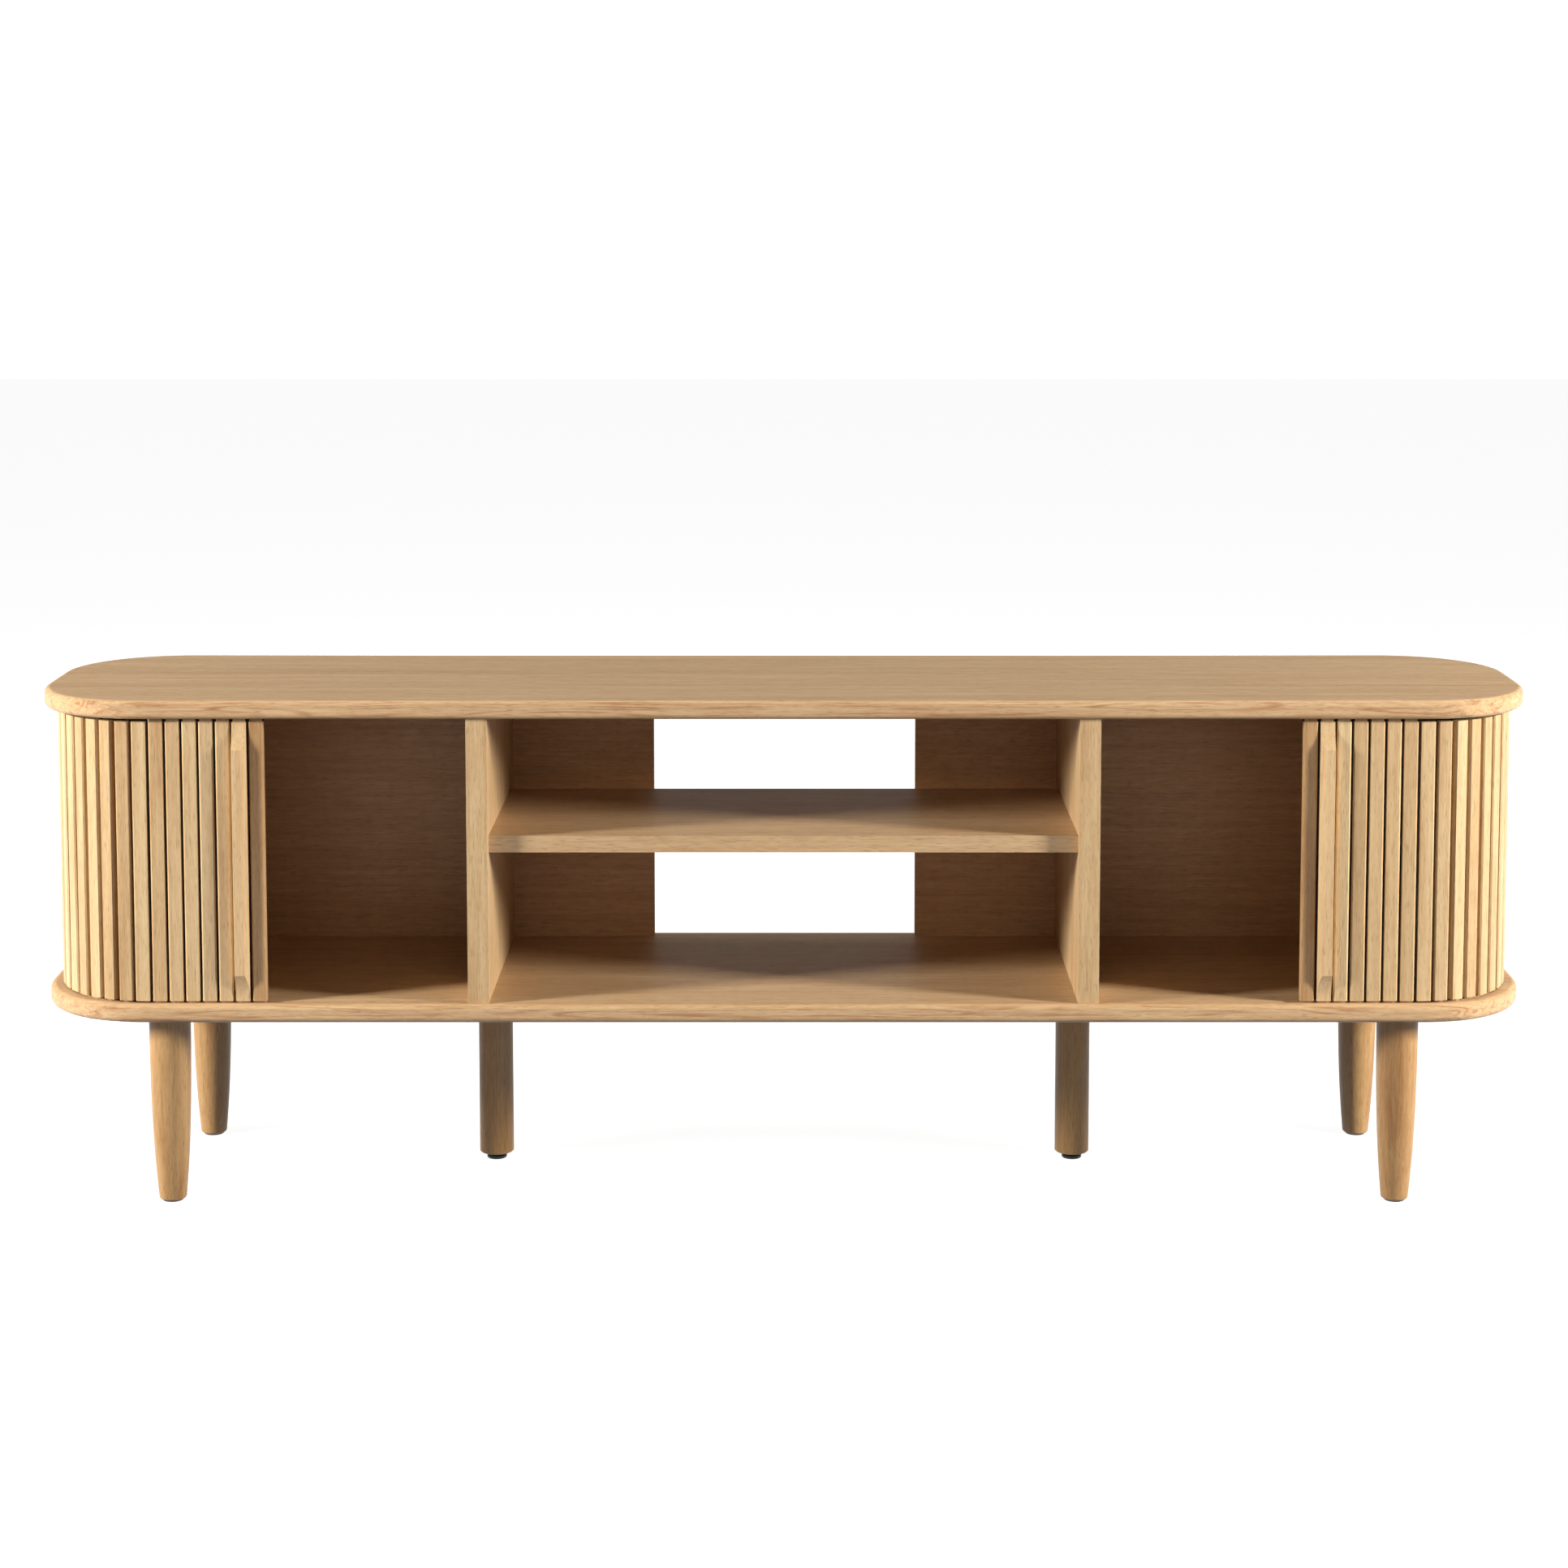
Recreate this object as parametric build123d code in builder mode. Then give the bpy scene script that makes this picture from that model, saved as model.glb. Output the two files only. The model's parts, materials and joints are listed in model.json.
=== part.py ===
from build123d import *
import math
import os

# Media cabinet with two sliding tambour doors. Millimetres.
# Origin on the floor under the middle of the cabinet, +X to the right, front facing -Y, +Z up.

# Overall size
WIDTH = 1600
DEPTH = 320
HEIGHT = 550
CORNER_RADIUS = 120
PANEL_THICK = 20
EDGE_ROUND = 6
CLEARANCE_UNDER = 205

# Carcass
DIVIDER_INNER_X = 312
DIVIDER_THICK = 22
DIVIDER_FRONT_INSET = 6
END_PANEL_INNER_X = 602
END_PANEL_THICK = 15
END_PANEL_FRONT_Y = -118
BACK_PANEL_FRONT_Y = 139
BACK_PANEL_THICK = 12
BACK_GAP_WIDTH = 300
SHELF_TOP = 403
SHELF_THICK = 18
SHELF_FRONT_Y = -142
SHELF_BACK_Y = 112

# Tambour doors
PITCH = 17.6
SLAT_WIDTH = 15.2
SLAT_THICK = 8
SLAT_CHAMFER = 1.5
FRONT_FACE_INSET = 8
END_FACE_INSET = 14
FACE_CORNER_RADIUS = 113
CANVAS_SPACE = 1
CANVAS_THICK = 0.8
CANVAS_GLUE = 0.1
CANVAS_TRIM = 2
CANVAS_MARGIN = 1.5
SLAT_GAP_BELOW = 2
SLAT_GAP_ABOVE = 3.5
DIVIDER_CLEARANCE = 0.8
TRAVEL_PITCHES = 12
FRONT_SLATS = 7
PAIRS = 13
LEAD_EDGE_ROUND = 3.5

# Track grooves and the tongues that run in them
GROOVE_WIDTH = 4
GROOVE_DEPTH = 5.5
TONGUE_THICK = 3
TONGUE_WIDTH = 13
TONGUE_DEPTH = 4
TRACK_FRONT_X = 336
TRACK_BACK_X = 622

# Handle bar on the second slat of each door
HANDLE_PROUD = 7
HANDLE_SCOOP = 29
HANDLE_BEVEL_WIDTH = 4.5
HANDLE_BEVEL_DEPTH = 6

# Turned legs
LEG_X = 658
LEG_Y = 116
LEG_TOP_RADIUS = 22.2
LEG_UPPER_RADIUS = 21.3
LEG_UPPER_Z = 127
LEG_LOWER_RADIUS = 18.7
LEG_LOWER_Z = 57
LEG_FOOT_RADIUS = 14.6
LEG_FOOT_ROUND = 3
GLIDE_RADIUS = 11
GLIDE_THICK = 1.5

# Centre supports with levelling feet
SUPPORT_X = 323
SUPPORT_Y = 28
SUPPORT_RADIUS = 19
SUPPORT_BOTTOM = 7.5
SUPPORT_CHAMFER = 1.2
FOOT_RADIUS = 11
FOOT_THICK = 4
FOOT_EDGE_ROUND = 1.2
STEM_RADIUS = 4
STEM_TOP = 42
STEM_BORE_RADIUS = 4.4
STEM_BORE_TOP = 48
SLEEVE_RADIUS = 6
SLEEVE_BORE_RADIUS = 4.1
SLEEVE_HEIGHT = 20

# Hidden hardware
BOLT_RADIUS = 4
BOLT_IN_LEG = 34
BOLT_IN_PANEL = 14
DOWEL_RADIUS = 4
DOWEL_IN_PANEL = 12
DOWEL_IN_BOARD = 18
DOWEL_END_SPACE = 1
DOWEL_Y = (-100, 20, 110)
SHELF_DOWEL_RADIUS = 3
SHELF_DOWEL_IN_DIVIDER = 12
SHELF_DOWEL_IN_SHELF = 18
SHELF_DOWEL_Y = (-100, 70)
SCREW_RADIUS = 2
SCREW_HEAD_RADIUS = 4
SCREW_HEAD_DEPTH = 2
SCREW_LENGTH = 32
SCREW_HEIGHTS = (262, 377, 492)

# Heights that follow
PANEL_UNDER = CLEARANCE_UNDER
FLOOR_Z = PANEL_UNDER + PANEL_THICK
CEILING_Z = HEIGHT - PANEL_THICK
INNER_HEIGHT = CEILING_Z - FLOOR_Z
SLAT_BOTTOM = FLOOR_Z + SLAT_GAP_BELOW
SLAT_TOP = CEILING_Z - SLAT_GAP_ABOVE
SLAT_HEIGHT = SLAT_TOP - SLAT_BOTTOM

CANVAS_FRONT = CANVAS_SPACE - CANVAS_GLUE

# Track line, at the canvas behind the slats
LINE_DEPTH = SLAT_THICK + CANVAS_SPACE
TRACK_RADIUS = FACE_CORNER_RADIUS - LINE_DEPTH
TRACK_END_X = WIDTH / 2 - END_FACE_INSET - FACE_CORNER_RADIUS
TRACK_CORNER_Y = DEPTH / 2 - FRONT_FACE_INSET - FACE_CORNER_RADIUS
TRACK_FRONT_Y = -DEPTH / 2 + FRONT_FACE_INSET + LINE_DEPTH
TRACK_ARC = TRACK_RADIUS * math.pi / 2
TRAVEL = TRAVEL_PITCHES * PITCH
DOOR_EDGE_X = DIVIDER_INNER_X + DIVIDER_THICK + DIVIDER_CLEARANCE + TRAVEL

LEG_SPOTS = {
    "front_left_leg": (-LEG_X, -LEG_Y),
    "front_right_leg": (LEG_X, -LEG_Y),
    "back_left_leg": (-LEG_X, LEG_Y),
    "back_right_leg": (LEG_X, LEG_Y),
}
SUPPORT_SPOTS = {"left": (-SUPPORT_X, SUPPORT_Y), "right": (SUPPORT_X, SUPPORT_Y)}
SIDES = {"left": -1, "right": 1}
DIVIDER_X = DIVIDER_INNER_X + DIVIDER_THICK / 2
END_PANEL_X = END_PANEL_INNER_X + END_PANEL_THICK / 2
BOARD_XS = (-END_PANEL_X, -DIVIDER_X, DIVIDER_X, END_PANEL_X)
BOARD_DOWEL_SPOTS = [(x, y) for x in BOARD_XS for y in DOWEL_Y]


def track_point(distance):
    """Place on the right-hand track line, by distance from the middle: x, y, turn in degrees."""
    rest = distance - TRACK_END_X
    if rest <= 0:
        return distance, TRACK_FRONT_Y, 0
    if rest <= TRACK_ARC:
        turn = rest / TRACK_RADIUS
        x = TRACK_END_X + TRACK_RADIUS * math.sin(turn)
        y = -TRACK_CORNER_Y - TRACK_RADIUS * math.cos(turn)
        return x, y, math.degrees(turn)
    rest -= TRACK_ARC
    if rest <= 2 * TRACK_CORNER_Y:
        return TRACK_END_X + TRACK_RADIUS, rest - TRACK_CORNER_Y, 90
    rest -= 2 * TRACK_CORNER_Y
    if rest <= TRACK_ARC:
        turn = rest / TRACK_RADIUS
        x = TRACK_END_X + TRACK_RADIUS * math.cos(turn)
        y = TRACK_CORNER_Y + TRACK_RADIUS * math.sin(turn)
        return x, y, 90 + math.degrees(turn)
    return TRACK_END_X - (rest - TRACK_ARC), -TRACK_FRONT_Y, 180


def pair_place(pair, closed_by):
    """Middle, turn and bend of a rigid pair of slats when the door has closed by a distance."""
    first = DOOR_EDGE_X + PITCH * (FRONT_SLATS + 2 * pair + 0.5) - closed_by
    x1, y1, turn1 = track_point(first)
    x2, y2, turn2 = track_point(first + PITCH)
    return (x1 + x2) / 2, (y1 + y2) / 2, (turn1 + turn2) / 2, turn2 - turn1


def pair_bend(pair):
    """One fixed bend for a pair: the middle of what its open and closed places need."""
    return (pair_place(pair, 0)[3] + pair_place(pair, TRAVEL)[3]) / 2


def slat_places(pair, side):
    """The two slats of a pair with the door open: x, y and turn of each, on one side."""
    x, y, turn, _ = pair_place(pair, 0)
    places = []
    for half in (-1, 1):
        slat_x = x + half * PITCH / 2 * math.cos(math.radians(turn))
        slat_y = y + half * PITCH / 2 * math.sin(math.radians(turn))
        slat_turn = turn + half * pair_bend(pair) / 2
        places.append((side * slat_x, slat_y, side * slat_turn))
    return places


def canvas_outline(pair, side):
    """Corners of the canvas strip behind a pair of slats, creased between the two."""
    x, y, turn, _ = pair_place(pair, 0)
    middle = math.radians(turn)
    crown = PITCH / 2 * math.tan(math.radians(pair_bend(pair) / 2))
    outer = []
    inner = []
    for end, rise in ((-1, 0), (0, crown), (1, 0)):
        heading = middle + end * math.radians(pair_bend(pair) / 2)
        reach = end * (PITCH - CANVAS_TRIM) / 2
        point_x = x + end * PITCH / 2 * math.cos(middle) + reach * math.cos(heading)
        point_y = y + end * PITCH / 2 * math.sin(middle) + reach * math.sin(heading)
        for corners, depth in ((outer, CANVAS_FRONT), (inner, CANVAS_FRONT - CANVAS_THICK)):
            corner_x = point_x + (depth + rise) * math.sin(heading)
            corner_y = point_y - (depth + rise) * math.cos(heading)
            corners.append((side * corner_x, corner_y))
    return outer + inner[::-1]


os.makedirs("parts", exist_ok=True)

# Top and bottom panels, each with a track groove for the doors on its inner face.
PANEL_BOTTOMS = {"top_panel": CEILING_Z, "bottom_panel": PANEL_UNDER}
GROOVE_BOTTOMS = {"top_panel": CEILING_Z, "bottom_panel": FLOOR_Z - GROOVE_DEPTH}
GROOVE_OUTER = (SLAT_THICK - GROOVE_WIDTH) / 2
GROOVE_INNER = GROOVE_OUTER + GROOVE_WIDTH
DOWEL_HOLE_BOTTOMS = {"top_panel": CEILING_Z, "bottom_panel": FLOOR_Z - DOWEL_IN_PANEL - DOWEL_END_SPACE}

for panel_name, panel_bottom in PANEL_BOTTOMS.items():
    with BuildPart() as panel:
        with BuildSketch(Plane.XY.offset(panel_bottom)):
            RectangleRounded(WIDTH, DEPTH, CORNER_RADIUS)
        extrude(amount=PANEL_THICK)
        fillet(panel.faces().sort_by(Axis.Z)[-1].edges(), EDGE_ROUND)
        fillet(panel.faces().sort_by(Axis.Z)[0].edges(), EDGE_ROUND)
        with BuildSketch(Plane.XY.offset(GROOVE_BOTTOMS[panel_name])):
            RectangleRounded(
                WIDTH - 2 * (END_FACE_INSET + GROOVE_OUTER),
                DEPTH - 2 * (FRONT_FACE_INSET + GROOVE_OUTER),
                FACE_CORNER_RADIUS - GROOVE_OUTER,
            )
            RectangleRounded(
                WIDTH - 2 * (END_FACE_INSET + GROOVE_INNER),
                DEPTH - 2 * (FRONT_FACE_INSET + GROOVE_INNER),
                FACE_CORNER_RADIUS - GROOVE_INNER,
                mode=Mode.SUBTRACT,
            )
            with Locations((0, -DEPTH / 4)):
                Rectangle(2 * TRACK_FRONT_X, DEPTH / 2, mode=Mode.SUBTRACT)
            with Locations((0, DEPTH / 4)):
                Rectangle(2 * TRACK_BACK_X, DEPTH / 2, mode=Mode.SUBTRACT)
        extrude(amount=GROOVE_DEPTH, mode=Mode.SUBTRACT)
        with BuildSketch(Plane.XY.offset(DOWEL_HOLE_BOTTOMS[panel_name])):
            with Locations(*BOARD_DOWEL_SPOTS):
                Circle(DOWEL_RADIUS)
        extrude(amount=DOWEL_IN_PANEL + DOWEL_END_SPACE, mode=Mode.SUBTRACT)
        if panel_name == "bottom_panel":
            with BuildSketch(Plane.XY.offset(PANEL_UNDER)):
                with Locations(*LEG_SPOTS.values(), *SUPPORT_SPOTS.values()):
                    Circle(BOLT_RADIUS)
            extrude(amount=BOLT_IN_PANEL + DOWEL_END_SPACE, mode=Mode.SUBTRACT)
    panel.part.label = panel_name
    export_step(panel.part, f"parts/{panel_name}.step")

# Dividers beside the open centre bay, with holes for shelf dowels and back screws.
DIVIDER_FRONT_Y = -DEPTH / 2 + DIVIDER_FRONT_INSET
for side_name, side in SIDES.items():
    with BuildPart() as divider:
        with BuildSketch(Plane.XY.offset(FLOOR_Z)):
            with Locations((side * DIVIDER_X, (DIVIDER_FRONT_Y + BACK_PANEL_FRONT_Y) / 2)):
                Rectangle(DIVIDER_THICK, BACK_PANEL_FRONT_Y - DIVIDER_FRONT_Y)
        extrude(amount=INNER_HEIGHT)
        with BuildSketch(Plane.XY.offset(FLOOR_Z)):
            with Locations(*[(side * DIVIDER_X, y) for y in DOWEL_Y]):
                Circle(DOWEL_RADIUS)
        extrude(amount=DOWEL_IN_BOARD + DOWEL_END_SPACE, mode=Mode.SUBTRACT)
        with BuildSketch(Plane.XY.offset(CEILING_Z)):
            with Locations(*[(side * DIVIDER_X, y) for y in DOWEL_Y]):
                Circle(DOWEL_RADIUS)
        extrude(amount=-DOWEL_IN_BOARD - DOWEL_END_SPACE, mode=Mode.SUBTRACT)
        with BuildSketch(Plane.YZ.offset(side * DIVIDER_INNER_X)):
            with Locations(*[(y, SHELF_TOP - SHELF_THICK / 2) for y in SHELF_DOWEL_Y]):
                Circle(SHELF_DOWEL_RADIUS)
        extrude(amount=side * (SHELF_DOWEL_IN_DIVIDER + DOWEL_END_SPACE), mode=Mode.SUBTRACT)
        with BuildSketch(Plane.XZ.offset(-BACK_PANEL_FRONT_Y)):
            with Locations(*[(side * DIVIDER_X, z) for z in SCREW_HEIGHTS]):
                Circle(SCREW_RADIUS)
        extrude(amount=SCREW_LENGTH - BACK_PANEL_THICK + DOWEL_END_SPACE, mode=Mode.SUBTRACT)
    divider.part.label = f"{side_name}_divider"
    export_step(divider.part, f"parts/{side_name}_divider.step")

# End panels: the outer walls of the two closed compartments, inside the track.
for side_name, side in SIDES.items():
    with BuildPart() as end_panel:
        with BuildSketch(Plane.XY.offset(FLOOR_Z)):
            with Locations((side * END_PANEL_X, (END_PANEL_FRONT_Y + BACK_PANEL_FRONT_Y) / 2)):
                Rectangle(END_PANEL_THICK, BACK_PANEL_FRONT_Y - END_PANEL_FRONT_Y)
        extrude(amount=INNER_HEIGHT)
        with BuildSketch(Plane.XY.offset(FLOOR_Z)):
            with Locations(*[(side * END_PANEL_X, y) for y in DOWEL_Y]):
                Circle(DOWEL_RADIUS)
        extrude(amount=DOWEL_IN_BOARD + DOWEL_END_SPACE, mode=Mode.SUBTRACT)
        with BuildSketch(Plane.XY.offset(CEILING_Z)):
            with Locations(*[(side * END_PANEL_X, y) for y in DOWEL_Y]):
                Circle(DOWEL_RADIUS)
        extrude(amount=-DOWEL_IN_BOARD - DOWEL_END_SPACE, mode=Mode.SUBTRACT)
        with BuildSketch(Plane.XZ.offset(-BACK_PANEL_FRONT_Y)):
            with Locations(*[(side * END_PANEL_X, z) for z in SCREW_HEIGHTS]):
                Circle(SCREW_RADIUS)
        extrude(amount=SCREW_LENGTH - BACK_PANEL_THICK + DOWEL_END_SPACE, mode=Mode.SUBTRACT)
    end_panel.part.label = f"{side_name}_end_panel"
    export_step(end_panel.part, f"parts/{side_name}_end_panel.step")

# Back panels: one behind each compartment, reaching into the centre bay and leaving a gap there.
BACK_OUTER_X = END_PANEL_INNER_X + END_PANEL_THICK
BACK_INNER_X = BACK_GAP_WIDTH / 2
BACK_FACE_Y = BACK_PANEL_FRONT_Y + BACK_PANEL_THICK
for side_name, side in SIDES.items():
    screw_spots = [(side * x, z) for x in (DIVIDER_X, END_PANEL_X) for z in SCREW_HEIGHTS]
    with BuildPart() as back_panel:
        with BuildSketch(Plane.XY.offset(FLOOR_Z)):
            with Locations(
                (side * (BACK_OUTER_X + BACK_INNER_X) / 2, BACK_PANEL_FRONT_Y + BACK_PANEL_THICK / 2)
            ):
                Rectangle(BACK_OUTER_X - BACK_INNER_X, BACK_PANEL_THICK)
        extrude(amount=INNER_HEIGHT)
        with BuildSketch(Plane.XZ.offset(-BACK_FACE_Y)):
            with Locations(*screw_spots):
                Circle(SCREW_RADIUS)
        extrude(amount=BACK_PANEL_THICK, mode=Mode.SUBTRACT)
        with BuildSketch(Plane.XZ.offset(-BACK_FACE_Y)):
            with Locations(*screw_spots):
                Circle(SCREW_HEAD_RADIUS)
        extrude(amount=SCREW_HEAD_DEPTH, mode=Mode.SUBTRACT)
    back_panel.part.label = f"{side_name}_back_panel"
    export_step(back_panel.part, f"parts/{side_name}_back_panel.step")

# Shelf across the centre bay.
with BuildPart() as center_shelf:
    with BuildSketch(Plane.XY.offset(SHELF_TOP - SHELF_THICK)):
        with Locations((0, (SHELF_FRONT_Y + SHELF_BACK_Y) / 2)):
            Rectangle(2 * DIVIDER_INNER_X, SHELF_BACK_Y - SHELF_FRONT_Y)
    extrude(amount=SHELF_THICK)
    for side in SIDES.values():
        with BuildSketch(Plane.YZ.offset(side * DIVIDER_INNER_X)):
            with Locations(*[(y, SHELF_TOP - SHELF_THICK / 2) for y in SHELF_DOWEL_Y]):
                Circle(SHELF_DOWEL_RADIUS)
        extrude(amount=-side * (SHELF_DOWEL_IN_SHELF + DOWEL_END_SPACE), mode=Mode.SUBTRACT)
center_shelf.part.label = "center_shelf"
export_step(center_shelf.part, "parts/center_shelf.step")

# Turned legs, slim at the foot, bored for a hanger bolt.
for leg_name, (leg_x, leg_y) in LEG_SPOTS.items():
    with BuildPart() as leg:
        with BuildSketch(Plane((leg_x, leg_y, 0), (1, 0, 0), (0, -1, 0))):
            with BuildLine():
                Line((0, PANEL_UNDER), (0, GLIDE_THICK))
                Line((0, GLIDE_THICK), (LEG_FOOT_RADIUS - LEG_FOOT_ROUND, GLIDE_THICK))
                RadiusArc(
                    (LEG_FOOT_RADIUS - LEG_FOOT_ROUND, GLIDE_THICK),
                    (LEG_FOOT_RADIUS, GLIDE_THICK + LEG_FOOT_ROUND),
                    -LEG_FOOT_ROUND,
                )
                Spline(
                    (LEG_FOOT_RADIUS, GLIDE_THICK + LEG_FOOT_ROUND),
                    (LEG_LOWER_RADIUS, LEG_LOWER_Z),
                    (LEG_UPPER_RADIUS, LEG_UPPER_Z),
                    (LEG_TOP_RADIUS, PANEL_UNDER),
                )
                Line((LEG_TOP_RADIUS, PANEL_UNDER), (0, PANEL_UNDER))
            make_face()
        revolve(axis=Axis((leg_x, leg_y, 0), (0, 0, 1)))
        with BuildSketch(Plane.XY.offset(PANEL_UNDER)):
            with Locations((leg_x, leg_y)):
                Circle(BOLT_RADIUS)
        extrude(amount=-BOLT_IN_LEG - DOWEL_END_SPACE, mode=Mode.SUBTRACT)
    leg.part.label = leg_name
    export_step(leg.part, f"parts/{leg_name}.step")

# Straight centre supports, bored for a hanger bolt above and a levelling foot below.
for side_name, spot in SUPPORT_SPOTS.items():
    with BuildPart() as support:
        with BuildSketch(Plane.XY.offset(SUPPORT_BOTTOM)):
            with Locations(spot):
                Circle(SUPPORT_RADIUS)
        extrude(amount=PANEL_UNDER - SUPPORT_BOTTOM)
        chamfer(support.faces().sort_by(Axis.Z)[0].edges(), SUPPORT_CHAMFER)
        with BuildSketch(Plane.XY.offset(SUPPORT_BOTTOM)):
            with Locations(spot):
                Circle(SLEEVE_RADIUS)
        extrude(amount=SLEEVE_HEIGHT, mode=Mode.SUBTRACT)
        with BuildSketch(Plane.XY.offset(SUPPORT_BOTTOM)):
            with Locations(spot):
                Circle(STEM_BORE_RADIUS)
        extrude(amount=STEM_BORE_TOP - SUPPORT_BOTTOM, mode=Mode.SUBTRACT)
        with BuildSketch(Plane.XY.offset(PANEL_UNDER)):
            with Locations(spot):
                Circle(BOLT_RADIUS)
        extrude(amount=-BOLT_IN_LEG - DOWEL_END_SPACE, mode=Mode.SUBTRACT)
    support.part.label = f"{side_name}_center_support"
    export_step(support.part, f"parts/{side_name}_center_support.step")

# Levelling feet: a round pad with a threaded stem.
for side_name, spot in SUPPORT_SPOTS.items():
    with BuildPart() as leveling_foot:
        with BuildSketch():
            with Locations(spot):
                Circle(FOOT_RADIUS)
        extrude(amount=FOOT_THICK)
        fillet(leveling_foot.edges(), FOOT_EDGE_ROUND)
        with BuildSketch(Plane.XY.offset(FOOT_THICK)):
            with Locations(spot):
                Circle(STEM_RADIUS)
        extrude(amount=STEM_TOP - FOOT_THICK)
    leveling_foot.part.label = f"{side_name}_leveling_foot"
    export_step(leveling_foot.part, f"parts/{side_name}_leveling_foot.step")

# Sleeves that the levelling feet screw into.
with BuildPart() as foot_sleeves:
    with BuildSketch(Plane.XY.offset(SUPPORT_BOTTOM)):
        with Locations(*SUPPORT_SPOTS.values()):
            Circle(SLEEVE_RADIUS)
            Circle(SLEEVE_BORE_RADIUS, mode=Mode.SUBTRACT)
    extrude(amount=SLEEVE_HEIGHT)
foot_sleeves.part.label = "foot_sleeves"
export_step(foot_sleeves.part, "parts/foot_sleeves.step")

# Thin glides under the four legs.
with BuildPart() as leg_glides:
    with BuildSketch():
        with Locations(*LEG_SPOTS.values()):
            Circle(GLIDE_RADIUS)
    extrude(amount=GLIDE_THICK)
leg_glides.part.label = "leg_glides"
export_step(leg_glides.part, "parts/leg_glides.step")

# Hanger bolts joining legs and supports to the bottom panel.
with BuildPart() as hanger_bolts:
    with BuildSketch(Plane.XY.offset(PANEL_UNDER - BOLT_IN_LEG)):
        with Locations(*LEG_SPOTS.values(), *SUPPORT_SPOTS.values()):
            Circle(BOLT_RADIUS)
    extrude(amount=BOLT_IN_LEG + BOLT_IN_PANEL)
hanger_bolts.part.label = "hanger_bolts"
export_step(hanger_bolts.part, "parts/hanger_bolts.step")

# Dowels at both ends of the dividers and end panels.
with BuildPart() as board_dowels:
    for dowel_bottom in (FLOOR_Z - DOWEL_IN_PANEL, CEILING_Z - DOWEL_IN_BOARD):
        with BuildSketch(Plane.XY.offset(dowel_bottom)):
            with Locations(*BOARD_DOWEL_SPOTS):
                Circle(DOWEL_RADIUS)
        extrude(amount=DOWEL_IN_PANEL + DOWEL_IN_BOARD)
board_dowels.part.label = "board_dowels"
export_step(board_dowels.part, "parts/board_dowels.step")

# Dowels at the ends of the shelf.
with BuildPart() as shelf_dowels:
    for side in SIDES.values():
        with BuildSketch(Plane.YZ.offset(side * (DIVIDER_INNER_X - SHELF_DOWEL_IN_SHELF))):
            with Locations(*[(y, SHELF_TOP - SHELF_THICK / 2) for y in SHELF_DOWEL_Y]):
                Circle(SHELF_DOWEL_RADIUS)
        extrude(amount=side * (SHELF_DOWEL_IN_SHELF + SHELF_DOWEL_IN_DIVIDER))
shelf_dowels.part.label = "shelf_dowels"
export_step(shelf_dowels.part, "parts/shelf_dowels.step")

# Screws through the back panels into the dividers and end panels.
with BuildPart() as back_screws:
    with BuildSketch(Plane.XZ.offset(-BACK_FACE_Y)):
        with Locations(*[(x, z) for x in BOARD_XS for z in SCREW_HEIGHTS]):
            Circle(SCREW_HEAD_RADIUS)
    extrude(amount=SCREW_HEAD_DEPTH)
    with BuildSketch(Plane.XZ.offset(-BACK_FACE_Y)):
        with Locations(*[(x, z) for x in BOARD_XS for z in SCREW_HEIGHTS]):
            Circle(SCREW_RADIUS)
    extrude(amount=SCREW_LENGTH)
back_screws.part.label = "back_screws"
export_step(back_screws.part, "parts/back_screws.step")

# Sliding front of each door: lead slat, handle slat and the plain slats on the straight front.
FACE_Y = -DEPTH / 2 + FRONT_FACE_INSET
SLAT_MID_Y = FACE_Y + SLAT_THICK / 2
CANVAS_MID_Y = FACE_Y + SLAT_THICK + CANVAS_GLUE + CANVAS_THICK / 2
FRONT_SLAT_X = [DOOR_EDGE_X + PITCH * (index + 0.5) for index in range(FRONT_SLATS)]
CANVAS_WIDTH = FRONT_SLATS * PITCH - CANVAS_TRIM
HANDLE_BACK_Y = FACE_Y
HANDLE_FRONT_Y = FACE_Y - HANDLE_PROUD
SCOOP_RADIUS = (HANDLE_SCOOP**2 + HANDLE_PROUD**2) / (2 * HANDLE_PROUD)

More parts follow.
